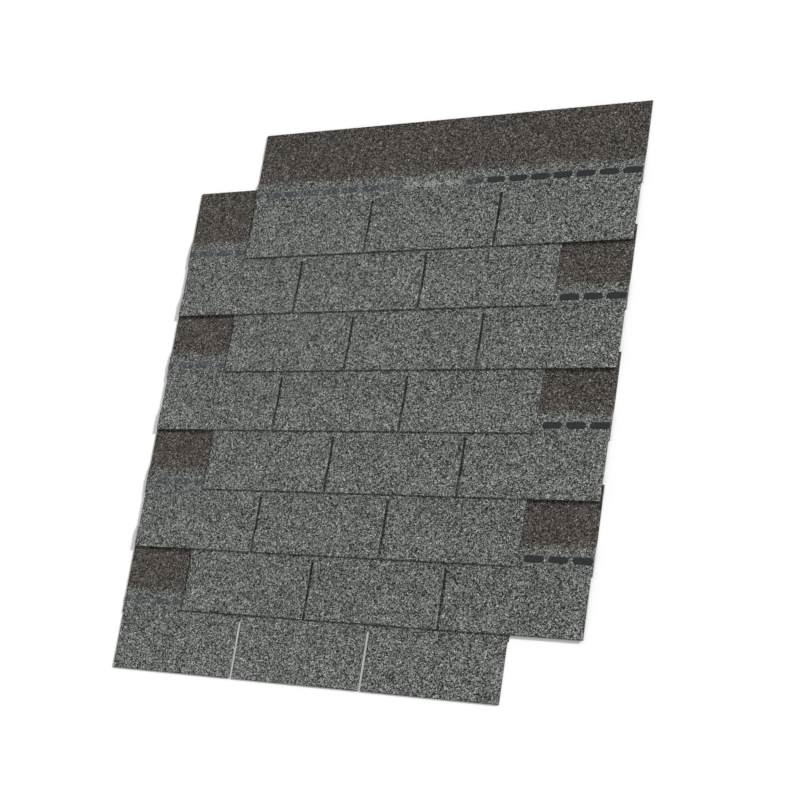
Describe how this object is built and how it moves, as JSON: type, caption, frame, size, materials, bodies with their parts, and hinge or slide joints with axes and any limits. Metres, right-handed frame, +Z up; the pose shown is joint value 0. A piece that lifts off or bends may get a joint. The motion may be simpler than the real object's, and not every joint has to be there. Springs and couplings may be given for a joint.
{
  "type": "laid sample of three-tab asphalt shingles",
  "caption": "Flat sample of granule-surfaced asphalt shingle strips laid in overlapping courses, with half-tab stagger, narrow cutouts, bare brown head bands and a line of sealant dots.",
  "frame": {"origin": "on the floor under the middle of the sample's bounding box", "axes": "+X along the courses, +Y from the lowest butt edge up to the highest head edge, +Z up, out of the granule face"},
  "size_m": [1.1666, 1.2998, 0.0084],
  "materials": {
    "granules": "matte",
    "sealant": "satin"
  },
  "bodies": {
    "root": {"shingle_strip_1": "granules", "shingle_strip_2": "granules", "shingle_strip_3": "granules", "shingle_strip_4": "granules", "shingle_strip_5": "granules", "shingle_strip_6": "granules", "shingle_strip_7": "granules", "shingle_strip_8": "granules", "sealant_dots": "sealant"}
  },
  "joints": []
}
